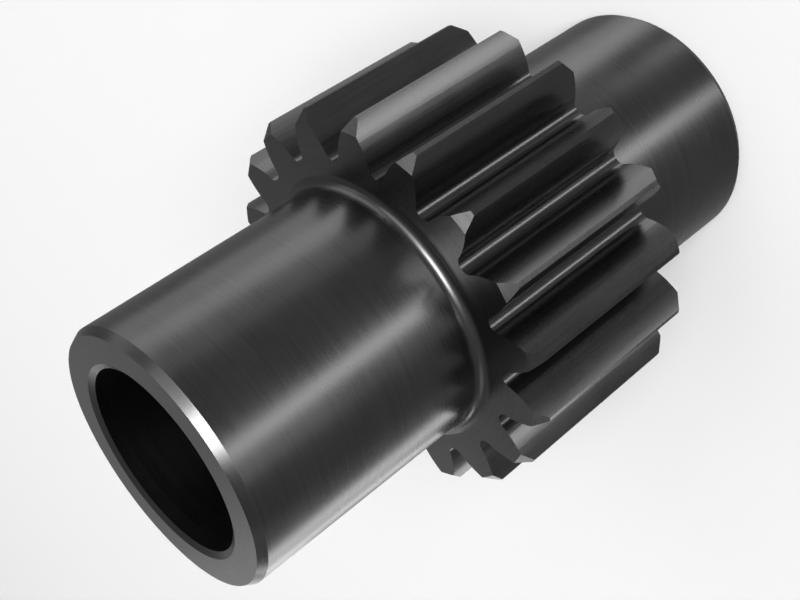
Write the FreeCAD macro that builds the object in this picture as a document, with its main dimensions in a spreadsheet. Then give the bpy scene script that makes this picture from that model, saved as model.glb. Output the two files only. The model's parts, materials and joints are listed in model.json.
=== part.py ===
"""An oil pump drive gear: a spur pinion with a bored hub on each side, turned and cut from one bar.

Millimetres, +Z up. The gear stands on the end of its short hub, with the long hub on top.
The origin is the centre of the bottom end face, and a tooth gap is centred on +X.
"""
import FreeCAD, Part
import Sketcher
import os

doc = FreeCAD.newDocument("pump_drive_gear")

# Driving dimensions
sizes = doc.addObject("Spreadsheet::Sheet", "Sizes")
DIMENSIONS = {
    "teeth": 18,
    "module_size": 1.75,
    "pressure_angle": 20,
    "profile_shift": 0.5,
    "tip_height": 1.13,
    "foot_depth": 0.875,
    "tooth_chamfer": 1.0,
    "face_width": 19.2,
    "long_hub_length": 23.8,
    "short_hub_length": 18.0,
    "hub_diameter": 24.0,
    "hub_chamfer_width": 0.43,
    "hub_chamfer_length": 0.75,
    "hub_fillet": 1.0,
    "bore_diameter": 17.0,
    "bore_chamfer_width": 0.55,
    "bore_chamfer_length": 0.3,
    "cutter_overrun": 0.25,
}
for row, (alias, size) in enumerate(DIMENSIONS.items(), start=1):
    sizes.set(f"A{row}", str(size))
    sizes.setAlias(f"A{row}", alias)
doc.recompute()

# The tooth system that follows from them. Heights are in modules, rolls in radians, angles in degrees.
tooth = doc.addObject("App::VarSet", "Tooth")
TOOTH_FORMULAS = {
    "pitch_radius": "Sizes.module_size * Sizes.teeth / 2",
    "tip_radius": "Tooth.pitch_radius + Sizes.module_size * (Sizes.profile_shift + Sizes.tip_height)",
    "base_radius": "Tooth.pitch_radius * cos(Sizes.pressure_angle)",
    "foot_radius": "Tooth.pitch_radius + Sizes.module_size * (Sizes.profile_shift - Sizes.foot_depth)",
    "end_radius": "Tooth.tip_radius + Sizes.cutter_overrun",
    "foot_roll": "sqrt(max(0.0004; (Tooth.foot_radius / Tooth.base_radius)^2 - 1))",
    "end_roll": "sqrt((Tooth.end_radius / Tooth.base_radius)^2 - 1)",
    "involute": "tan(Sizes.pressure_angle) - Sizes.pressure_angle * pi / 180",
    "widening": "2 * Sizes.profile_shift * tan(Sizes.pressure_angle) / Sizes.teeth",
    "gap_half_angle": "90 / Sizes.teeth - (Tooth.widening + Tooth.involute) * 180 / pi",
    "foot_angle": "Tooth.foot_roll * 180 / pi + Tooth.gap_half_angle",
    "root_centre": "Tooth.base_radius / cos(Tooth.foot_angle)",
}
for name, formula in TOOTH_FORMULAS.items():
    tooth.addProperty("App::PropertyFloat", name)
    tooth.setExpression(name, formula)
doc.recompute()

# Each flank is drawn as this many arcs
FLANK_ARCS = 3

# How a sketch numbers the vertices of an edge, its own X axis and its origin
START, END, CENTRE = range(1, 4)
X_AXIS = -1
ORIGIN = (X_AXIS, START)


def value(formula):
    """The number that a formula gives with the present sizes."""
    return float(tooth.evalExpression(formula))


def place(x_formula, y_formula):
    """A point of a sketch, from the formulas of its two coordinates."""
    return FreeCAD.Vector(value(x_formula), value(y_formula), 0)


def origin_item(body, role):
    """One of the body's own origin planes or axes."""
    return next(item for item in body.Origin.OriginFeatures if item.Role == role)


def add_sketch(body, name, role):
    """A new sketch on one of the body's origin planes."""
    sketch = body.newObject("Sketcher::SketchObject", name)
    sketch.AttachmentSupport = [(origin_item(body, role), "")]
    sketch.MapMode = "FlatFace"
    return sketch


def dimension(sketch, kind, references, name, formula):
    """A named dimension of a sketch that follows a formula."""
    index = sketch.addConstraint(Sketcher.Constraint(kind, *references, value(formula)))
    sketch.renameConstraint(index, name)
    sketch.setExpression(f"Constraints.{name}", formula)


def locate(sketch, vertex, name, formulas):
    """Ties a vertex of a sketch to the formulas of its two coordinates."""
    for kind, letter, formula in zip(("DistanceX", "DistanceY"), "xy", formulas):
        if formula == "0":
            axis_vertex = (*vertex, X_AXIS)
            sketch.addConstraint(Sketcher.Constraint("PointOnObject", *axis_vertex))
        else:
            dimension(sketch, kind, (*ORIGIN, *vertex), f"{name}_{letter}", formula)


def join(sketch, first, second):
    """Makes two vertices of a sketch coincide."""
    sketch.addConstraint(Sketcher.Constraint("Coincident", *first, *second))


def mirror(sketch, first, second):
    """Makes two vertices of a sketch mirror each other in its X axis."""
    sketch.addConstraint(Sketcher.Constraint("Symmetric", *first, *second, X_AXIS))


def turned_profile(body):
    """Half section of the turned blank: the bore, two chamfered hubs and the rim between them."""
    hub = "Sizes.hub_diameter / 2"
    bore = "Sizes.bore_diameter / 2"
    rim = "Tooth.tip_radius"
    low_face = "Sizes.short_hub_length"
    high_face = "Sizes.short_hub_length + Sizes.face_width"
    top = "Sizes.short_hub_length + Sizes.face_width + Sizes.long_hub_length"
    # Corners from the bottom end of the bore, round the outside, and back down the bore
    corners = {
        "bottom_inner": (f"{bore} + Sizes.bore_chamfer_width", "0"),
        "bottom_outer": (f"{hub} - Sizes.hub_chamfer_width", "0"),
        "short_hub_end": (hub, "Sizes.hub_chamfer_length"),
        "short_hub_root": (hub, f"{low_face} - Sizes.hub_fillet"),
        "low_face_inner": (f"{hub} + Sizes.hub_fillet", low_face),
        "low_face_outer": (f"{rim} - Sizes.tooth_chamfer", low_face),
        "rim_bottom": (rim, f"{low_face} + Sizes.tooth_chamfer"),
        "rim_top": (rim, f"{high_face} - Sizes.tooth_chamfer"),
        "high_face_outer": (f"{rim} - Sizes.tooth_chamfer", high_face),
        "high_face_inner": (f"{hub} + Sizes.hub_fillet", high_face),
        "long_hub_root": (hub, f"{high_face} + Sizes.hub_fillet"),
        "long_hub_end": (hub, f"{top} - Sizes.hub_chamfer_length"),
        "top_outer": (f"{hub} - Sizes.hub_chamfer_width", top),
        "top_inner": (f"{bore} + Sizes.bore_chamfer_width", top),
        "bore_top": (bore, f"{top} - Sizes.bore_chamfer_length"),
        "bore_bottom": (bore, "Sizes.bore_chamfer_length"),
    }
    # The arcs from a hub to a gear face, with the formulas of their centres
    fillets = {
        "short_hub_root": (f"{hub} + Sizes.hub_fillet", f"{low_face} - Sizes.hub_fillet"),
        "high_face_inner": (f"{hub} + Sizes.hub_fillet", f"{high_face} + Sizes.hub_fillet"),
    }
    sketch = add_sketch(body, "turned_profile", "XZ_Plane")
    names = list(corners)
    points = [place(*corners[name]) for name in names]
    radius = value("Sizes.hub_fillet")
    for index, name in enumerate(names):
        near = points[index]
        far = points[(index + 1) % len(points)]
        if name in fillets:
            centre = place(*fillets[name])
            middle = centre + ((near + far) / 2 - centre).normalize() * radius
            edge = Part.Arc(far, middle, near)
        else:
            edge = Part.LineSegment(near, far)
        sketch.addGeometry(edge, False)
    for index, name in enumerate(names):
        before = (index - 1) % len(names)
        last = START if names[before] in fillets else END
        first = END if name in fillets else START
        join(sketch, (before, last), (index, first))
        locate(sketch, (index, first), name, corners[name])
        if name in fillets:
            dimension(sketch, "Radius", (index,), f"{name}_fillet", "Sizes.hub_fillet")
    return sketch


def roll_at(step):
    """Formula of the involute's roll a number of arcs up the flank."""
    return f"(Tooth.foot_roll + (Tooth.end_roll - Tooth.foot_roll) * {step} / {FLANK_ARCS})"


def flank_point(step):
    """Formulas of the point of the involute a number of arcs up the flank."""
    roll = roll_at(step)
    angle = f"({roll} * 180 / pi + Tooth.gap_half_angle)"
    x = f"Tooth.base_radius * (cos{angle} + {roll} * sin{angle})"
    y = f"Tooth.base_radius * (sin{angle} - {roll} * cos{angle})"
    return x, y


def add_flanks(sketch):
    """Both flanks of a gap, as arcs from the feet outwards. Gives the arcs' numbers, flank by flank.

    An arc joins two points of the involute, with the radius of curvature that it has between them.
    """
    flank = []
    other_flank = []
    for step in range(FLANK_ARCS):
        points = [place(*flank_point(step + share)) for share in (0, 0.5, 1)]
        mirrored = [FreeCAD.Vector(point.x, -point.y, 0) for point in reversed(points)]
        flank.append(sketch.addGeometry(Part.Arc(*points), False))
        other_flank.append(sketch.addGeometry(Part.Arc(*mirrored), False))
    locate(sketch, (flank[0], START), "foot", flank_point(0))
    mirror(sketch, (flank[0], START), (other_flank[0], END))
    for step, (arc, other_arc) in enumerate(zip(flank, other_flank)):
        radius = f"Tooth.base_radius * {roll_at(step + 0.5)}"
        locate(sketch, (arc, END), f"flank_{step}", flank_point(step + 1))
        mirror(sketch, (arc, END), (other_arc, START))
        dimension(sketch, "Radius", (arc,), f"flank_{step}_radius", radius)
        sketch.addConstraint(Sketcher.Constraint("Equal", arc, other_arc))
    for arcs, near, far in ((flank, START, END), (other_flank, END, START)):
        for arc, next_arc in zip(arcs, arcs[1:]):
            join(sketch, (arc, far), (next_arc, near))
    return flank, other_flank


def gap_profile(body):
    """The gap between two teeth: two involute flanks, with one round root from foot to foot."""
    sketch = add_sketch(body, "gap_profile", "XY_Plane")
    flank, other_flank = add_flanks(sketch)

    # The root is tangent to both flanks, so its centre is where the normals of their feet meet
    foot = place(*flank_point(0))
    other_foot = FreeCAD.Vector(foot.x, -foot.y, 0)
    centre = FreeCAD.Vector(value("Tooth.root_centre"), 0, 0)
    bottom = centre - FreeCAD.Vector(foot.distanceToPoint(centre), 0, 0)
    root = sketch.addGeometry(Part.Arc(foot, bottom, other_foot), False)
    join(sketch, (root, START), (flank[0], START))
    join(sketch, (root, END), (other_flank[0], END))
    dimension(sketch, "DistanceX", (*ORIGIN, root, CENTRE), "root_centre", "Tooth.root_centre")

    # The open end, outside the rim
    tip = place(*flank_point(FLANK_ARCS))
    outside = value("Tooth.end_radius")
    ends = [
        tip,
        FreeCAD.Vector(outside, tip.y, 0),
        FreeCAD.Vector(outside, -tip.y, 0),
        FreeCAD.Vector(tip.x, -tip.y, 0),
    ]
    lines = [
        sketch.addGeometry(Part.LineSegment(near, far), False)
        for near, far in zip(ends, ends[1:])
    ]
    join(sketch, (lines[0], START), (flank[-1], END))
    join(sketch, (lines[0], END), (lines[1], START))
    join(sketch, (lines[1], END), (lines[2], START))
    join(sketch, (lines[2], END), (other_flank[-1], START))
    for kind, line in zip(("Horizontal", "Vertical", "Horizontal"), lines):
        sketch.addConstraint(Sketcher.Constraint(kind, line))
    dimension(sketch, "DistanceX", (*ORIGIN, lines[1], START), "open_end", "Tooth.end_radius")
    return sketch


def build_gear():
    """The gear: the blank turned about Z, then one tooth gap cut right through and repeated."""
    body = doc.addObject("PartDesign::Body", "drive_gear")
    body.Label = "drive_gear"
    body.Placement = FreeCAD.Placement()
    profile = turned_profile(body)
    doc.recompute()

    blank = body.newObject("PartDesign::Revolution", "turned_blank")
    blank.Profile = profile
    blank.ReferenceAxis = (profile, ["V_Axis"])
    blank.Angle = 360
    doc.recompute()
    blank_volume = blank.Shape.Volume

    gap = body.newObject("PartDesign::Pocket", "tooth_gap")
    gap.Profile = gap_profile(body)
    gap.Type = "ThroughAll"
    gap.Reversed = True
    doc.recompute()
    if gap.Shape.Volume >= blank_volume:
        raise ValueError("the tooth gap cuts nothing")

    teeth = body.newObject("PartDesign::PolarPattern", "teeth")
    teeth.Originals = [gap]
    teeth.Axis = (origin_item(body, "Z_Axis"), [""])
    teeth.Angle = 360
    teeth.setExpression("Occurrences", "Sizes.teeth")
    body.Tip = teeth
    doc.recompute()
    return body


gear = build_gear()

for item in doc.Objects:
    if "Invalid" in item.State or "Error" in item.State:
        raise ValueError(f"{item.Name} did not build: {item.State}")
for sketch in doc.findObjects("Sketcher::SketchObject"):
    if sketch.solve() != 0 or not sketch.FullyConstrained:
        raise ValueError(f"{sketch.Name} is not fully constrained")
if gear.Shape.isNull() or not gear.Shape.isValid() or len(gear.Shape.Solids) != 1:
    raise ValueError("the gear is not one valid solid")

os.makedirs("parts", exist_ok=True)
gear.Shape.exportStep(f"parts/{gear.Label}.step")
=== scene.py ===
"""The pump drive gear's finish, the studio round it and the camera.

Metres, +Z up, with the gear on its short hub.
"""
import json
import math

import bpy
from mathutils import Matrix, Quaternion, Vector


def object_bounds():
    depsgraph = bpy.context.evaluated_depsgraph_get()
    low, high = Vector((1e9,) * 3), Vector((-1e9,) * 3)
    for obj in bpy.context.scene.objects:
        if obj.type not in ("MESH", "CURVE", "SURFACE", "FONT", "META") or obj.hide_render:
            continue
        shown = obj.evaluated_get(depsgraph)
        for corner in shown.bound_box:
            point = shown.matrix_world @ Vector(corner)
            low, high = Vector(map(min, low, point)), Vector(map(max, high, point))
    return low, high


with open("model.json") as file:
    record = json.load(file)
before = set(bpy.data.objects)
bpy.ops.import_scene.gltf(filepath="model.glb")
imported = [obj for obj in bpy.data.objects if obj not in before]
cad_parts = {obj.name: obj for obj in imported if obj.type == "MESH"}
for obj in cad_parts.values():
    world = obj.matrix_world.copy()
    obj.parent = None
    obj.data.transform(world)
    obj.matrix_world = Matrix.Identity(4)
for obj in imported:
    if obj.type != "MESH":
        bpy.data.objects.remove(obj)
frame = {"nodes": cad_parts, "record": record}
cad_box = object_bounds()
mounts = {mount["name"]: mount for mount in frame["record"]["mounts"]}

MM = 0.001
GEAR = "drive_gear"

# The camera: the point that it looks at, and where it stands from there
VIEW_POINT = Vector((-0.44, 0.04, 34.92)) * MM
VIEW_DISTANCE = 112.4 * MM
VIEW_AZIMUTH = -5.36
VIEW_ELEVATION = 30.02
VIEW_ROLL = -125.27
FOCAL_LENGTH = 57.66
SENSOR_WIDTH = 36.0
NEAR_CLIP = 10.0 * MM

# The steel: its greys, and its roughness from the oiled patches to the dry ones
STEEL_GREYS = ("585858", "606060")
STEEL_ROUGHNESS = (0.26, 0.3)
# The marks and the oil, added up: the sum at the first grey and roughness, and the sum at the second
FINISH_RANGE = (0.7, 1.3)
# The real marks are 0.02 to 0.05 mm apart, too fine to show, so they are drawn about six times as coarse
RING_PITCH = 0.22 * MM
RING_LENGTH = 12.0 * MM
LINE_PITCH = 0.2 * MM
LINE_LENGTH = 7.0 * MM
MARK_DEPTH = 0.0008 * MM
MARK_DETAIL = 2.0
OIL_PATCH = 5.0 * MM
OIL_DETAIL = 3.0
# The tooth gaps' lines lie between the hubs' fillets and the tooth tips, where the surface is upright
FILLET_MARGIN = 1.3 * MM
TIP_MARGIN = 0.05 * MM
INNER_RADIUS = mounts["long_hub"]["dims"]["r_mm"] * MM + FILLET_MARGIN
OUTER_RADIUS = cad_box[1][1] - TIP_MARGIN
UPRIGHT_SLOPE = 0.5

# The ground: a flat round sheet that curves up into a wall all round, just outside the lamps
GROUND_RADIUS = 2.5
WALL_CURVE = 1.2
WALL_HEIGHT = 1.4
CURVE_STEPS = 12
GROUND_SEGMENTS = 64
GROUND_WHITE = "f7f7f7"

# The soft boxes, as seen from the gear in degrees: azimuth, elevation, width, height, roll, and brightness.
# The key gives most of the ground's light. The low ones are the pale streaks along the hubs and the teeth.
SOFT_BOX_DISTANCE = 3.0
SOFT_BOXES = {
    "key": (353, 37, 29, 19, 0, 16.8),
    "key_halo": (355, 46, 50, 30, 0, 1.05),
    "key_wing": (42, 43, 34, 22, 0, 1.6),
    "front_strip": (335, -31, 9, 35, 17, 5.1),
    "front_glow": (319, -12, 24, 26, 0, 0.85),
    "right_strip": (77, -33, 18, 40, 0, 0.75),
    "right_glow": (57, -27, 28, 29, 0, 0.4),
    "right_panel": (91, -26, 36, 48, -20, 0.8),
    "right_low": (41, -59, 10, 20, 0, 3.2),
    "right_high": (75, 10, 60, 23, 0, 0.95),
    "right_top": (97, 32, 16, 14, 0, 0.95),
    "back_strip": (226, -15, 12, 41, 22, 3.2),
    "back_bar": (209, -17, 10, 22, 0, 2.4),
    "back_panel": (193, -8, 28, 24, 0, 1.0),
    "back_glow": (252, -24, 18, 24, 0, 0.12),
    "back_high": (191, 17, 22, 14, 0, 0.7),
    "back_haze": (182, 18, 44, 20, 0, 0.2),
    "back_top": (246, 31, 22, 18, 0, 0.65),
}
WORLD_LEVEL = 0.236


def linear(hex_colour):
    """A hex sRGB colour as linear RGBA."""
    channels = [int(hex_colour[i:i + 2], 16) / 255 for i in (0, 2, 4)]
    return tuple(c / 12.92 if c <= 0.04045 else ((c + 0.055) / 1.055) ** 2.4 for c in channels) + (1.0,)


def add_node(material, kind, inputs=None, **settings):
    """Adds a node and sets its properties.

    Each input, by name or number, gets a value or another node's output.
    """
    tree = material.node_tree
    node = tree.nodes.new(kind)
    for name, setting in settings.items():
        setattr(node, name, setting)
    for key, source in (inputs or {}).items():
        if isinstance(source, bpy.types.NodeSocket):
            tree.links.new(source, node.inputs[key])
        else:
            node.inputs[key].default_value = source
    return node


def new_material(name):
    """An empty node material with its output node."""
    material = bpy.data.materials.new(name)
    material.use_nodes = True
    material.node_tree.nodes.clear()
    return material, material.node_tree.nodes.new("ShaderNodeOutputMaterial")


def turning_rings(material, place, flat, radius):
    """Rings round the axis: noise that is quick with the radius and the height, and slow round the axis."""
    along = add_node(material, "ShaderNodeSeparateXYZ", {"Vector": place.outputs["Object"]})
    section = add_node(material, "ShaderNodeCombineXYZ",
                       {"X": radius.outputs["Value"], "Y": along.outputs["Z"]})
    quick = add_node(material, "ShaderNodeVectorMath",
                     {0: section.outputs["Vector"], "Scale": 1 / RING_PITCH}, operation="SCALE")
    slow = add_node(material, "ShaderNodeVectorMath",
                    {0: flat.outputs["Vector"], "Scale": 1 / RING_LENGTH}, operation="SCALE")
    turn = add_node(material, "ShaderNodeSeparateXYZ", {"Vector": slow.outputs["Vector"]})
    third = add_node(material, "ShaderNodeCombineXYZ", {"Z": turn.outputs["X"]})
    point = add_node(material, "ShaderNodeVectorMath",
                     {0: quick.outputs["Vector"], 1: third.outputs["Vector"]}, operation="ADD")
    return add_node(material, "ShaderNodeTexNoise",
                    {"Vector": point.outputs["Vector"], "W": turn.outputs["Y"], "Scale": 1.0,
                     "Detail": MARK_DETAIL}, noise_dimensions="4D")


def gap_lines(material, place):
    """Lines down the tooth gaps: noise that is quick across them and slow along them."""
    point = add_node(material, "ShaderNodeVectorMath",
                     {0: place.outputs["Object"], 1: (1 / LINE_PITCH, 1 / LINE_PITCH, 1 / LINE_LENGTH)},
                     operation="MULTIPLY")
    return add_node(material, "ShaderNodeTexNoise",
                    {"Vector": point.outputs["Vector"], "Scale": 1.0, "Detail": MARK_DETAIL})


def tooth_gaps(material, place, radius):
    """1 in the tooth gaps, the upright surfaces between the hubs and the tooth tips, and 0 elsewhere."""
    facing = add_node(material, "ShaderNodeSeparateXYZ", {"Vector": place.outputs["Normal"]})
    slope = add_node(material, "ShaderNodeMath", {0: facing.outputs["Z"]}, operation="ABSOLUTE")
    upright = add_node(material, "ShaderNodeMath", {0: slope.outputs["Value"], 1: UPRIGHT_SLOPE},
                       operation="LESS_THAN")
    outside = add_node(material, "ShaderNodeMath", {0: radius.outputs["Value"], 1: INNER_RADIUS},
                       operation="GREATER_THAN")
    inside = add_node(material, "ShaderNodeMath", {0: radius.outputs["Value"], 1: OUTER_RADIUS},
                      operation="LESS_THAN")
    between = add_node(material, "ShaderNodeMath", {0: outside.outputs["Value"], 1: inside.outputs["Value"]},
                       operation="MULTIPLY")
    return add_node(material, "ShaderNodeMath", {0: between.outputs["Value"], 1: upright.outputs["Value"]},
                    operation="MULTIPLY")


def ground_steel():
    """Hardened steel, turned and then ground.

    It is a dark neutral grey with soft-edged reflections. The tools leave fine rings round the axis on the
    hubs, the bore, the ends and the tooth tips, and fine straight lines down the tooth gaps. A film of oil
    makes it a little glossier in patches.
    """
    material, output = new_material("ground_steel")
    place = add_node(material, "ShaderNodeTexCoord")
    flat = add_node(material, "ShaderNodeVectorMath", {0: place.outputs["Object"], 1: (1, 1, 0)},
                    operation="MULTIPLY")
    radius = add_node(material, "ShaderNodeVectorMath", {0: flat.outputs["Vector"]}, operation="LENGTH")
    rings = turning_rings(material, place, flat, radius)
    lines = gap_lines(material, place)
    gaps = tooth_gaps(material, place, radius)
    marks = add_node(material, "ShaderNodeMix",
                     {"Factor": gaps.outputs["Value"], "A": rings.outputs["Fac"], "B": lines.outputs["Fac"]})
    # The oil's patches, a few millimetres across
    oil = add_node(material, "ShaderNodeTexNoise",
                   {"Vector": place.outputs["Object"], "Scale": 1 / OIL_PATCH, "Detail": OIL_DETAIL})

    # Colour and gloss follow both
    finish = add_node(material, "ShaderNodeMath",
                      {0: marks.outputs["Result"], 1: oil.outputs["Fac"]}, operation="ADD")
    spread = {"Value": finish.outputs["Value"], "From Min": FINISH_RANGE[0], "From Max": FINISH_RANGE[1]}
    shade = add_node(material, "ShaderNodeMapRange", {**spread, "To Min": 0.0, "To Max": 1.0})
    colour = add_node(material, "ShaderNodeValToRGB", {"Fac": shade.outputs["Result"]})
    for stop, hex_colour in zip(colour.color_ramp.elements, STEEL_GREYS):
        stop.color = linear(hex_colour)
    gloss = add_node(material, "ShaderNodeMapRange",
                     {**spread, "To Min": STEEL_ROUGHNESS[0], "To Max": STEEL_ROUGHNESS[1]})

    relief = add_node(material, "ShaderNodeBump",
                      {"Height": marks.outputs["Result"], "Distance": MARK_DEPTH})
    shader = add_node(material, "ShaderNodeBsdfPrincipled",
                      {"Base Color": colour.outputs["Color"], "Metallic": 1.0,
                       "Roughness": gloss.outputs["Result"], "Normal": relief.outputs["Normal"]})
    material.node_tree.links.new(shader.outputs["BSDF"], output.inputs["Surface"])
    return material


def matt_white_paper():
    """Seamless background paper, matt and even, so that only the gear's soft shadow shows on it."""
    material, output = new_material("matt_white_paper")
    shader = add_node(material, "ShaderNodeBsdfDiffuse", {"Color": linear(GROUND_WHITE)})
    material.node_tree.links.new(shader.outputs["BSDF"], output.inputs["Surface"])
    return material


def build_ground():
    """The white ground and wall.

    The steel mirrors dark surroundings and lamps below the horizon, so reflections and the lamps' light
    pass through the ground.
    """
    bpy.ops.mesh.primitive_circle_add(vertices=GROUND_SEGMENTS, radius=GROUND_RADIUS, fill_type="NGON")
    ground = bpy.context.object
    ground.name = "ground"
    bpy.ops.object.mode_set(mode="EDIT")
    bpy.ops.mesh.select_mode(type="EDGE")
    bpy.ops.mesh.select_all(action="SELECT")
    radius, height = GROUND_RADIUS, 0.0
    angles = [math.pi / 2 * step / CURVE_STEPS for step in range(1, CURVE_STEPS + 1)]
    rings = [(GROUND_RADIUS + WALL_CURVE * math.sin(a), WALL_CURVE * (1 - math.cos(a))) for a in angles]
    rings.append((rings[-1][0], WALL_HEIGHT))
    for next_radius, next_height in rings:
        bpy.ops.mesh.extrude_edges_move(TRANSFORM_OT_translate={"value": (0, 0, next_height - height)})
        bpy.ops.transform.resize(value=(next_radius / radius, next_radius / radius, 1))
        radius, height = next_radius, next_height
    bpy.ops.object.mode_set(mode="OBJECT")
    bpy.ops.object.shade_smooth()
    ground.data.materials.append(matt_white_paper())
    ground.visible_glossy = False
    ground.visible_shadow = False


def build_world(strength):
    """Dim even light from all round."""
    world = bpy.data.worlds.new("studio")
    bpy.context.scene.world = world
    world.use_nodes = True
    background = world.node_tree.nodes["Background"]
    background.inputs["Color"].default_value = (1, 1, 1, 1)
    background.inputs["Strength"].default_value = strength


def from_angles(azimuth, elevation):
    """The direction from the gear at an azimuth and elevation: azimuth 0 is -Y and 90 is +X."""
    a, e = math.radians(azimuth), math.radians(elevation)
    return Vector((math.sin(a) * math.cos(e), -math.cos(a) * math.cos(e), math.sin(e)))


def soft_box(name, azimuth, elevation, width, height, roll, brightness):
    """A rectangular lamp that faces the gear. Its power is its brightness times its area and pi."""
    lamp = bpy.data.lights.new(name, "AREA")
    lamp.shape = "RECTANGLE"
    lamp.size = 2 * SOFT_BOX_DISTANCE * math.tan(math.radians(width / 2))
    lamp.size_y = 2 * SOFT_BOX_DISTANCE * math.tan(math.radians(height / 2))
    lamp.energy = brightness * lamp.size * lamp.size_y * math.pi
    box = bpy.data.objects.new(name, lamp)
    bpy.context.scene.collection.objects.link(box)
    outwards = from_angles(azimuth, elevation)
    box.location = VIEW_POINT + outwards * SOFT_BOX_DISTANCE
    box.rotation_mode = "QUATERNION"
    level = (-outwards).to_track_quat("-Z", "Y")
    box.rotation_quaternion = level @ Quaternion((0, 0, 1), math.radians(roll))
    box.visible_camera = False


def aim_camera():
    """The photograph's camera, which is rolled, so that the long hub points down to the left."""
    camera = bpy.data.objects.new("camera", bpy.data.cameras.new("camera"))
    bpy.context.scene.collection.objects.link(camera)
    camera.data.lens = FOCAL_LENGTH
    camera.data.sensor_width = SENSOR_WIDTH
    camera.data.clip_start = NEAR_CLIP
    back = from_angles(VIEW_AZIMUTH, VIEW_ELEVATION)
    camera.location = VIEW_POINT + back * VIEW_DISTANCE
    camera.rotation_mode = "QUATERNION"
    level = (-back).to_track_quat("-Z", "Y")
    camera.rotation_quaternion = level @ Quaternion((0, 0, 1), math.radians(VIEW_ROLL))
    bpy.context.scene.camera = camera


gear = frame["nodes"][GEAR]
gear.data.materials.clear()
gear.data.materials.append(ground_steel())
build_ground()
build_world(WORLD_LEVEL)
for name, settings in SOFT_BOXES.items():
    soft_box(name, *settings)
aim_camera()

bpy.context.scene.view_settings.view_transform = "Standard"
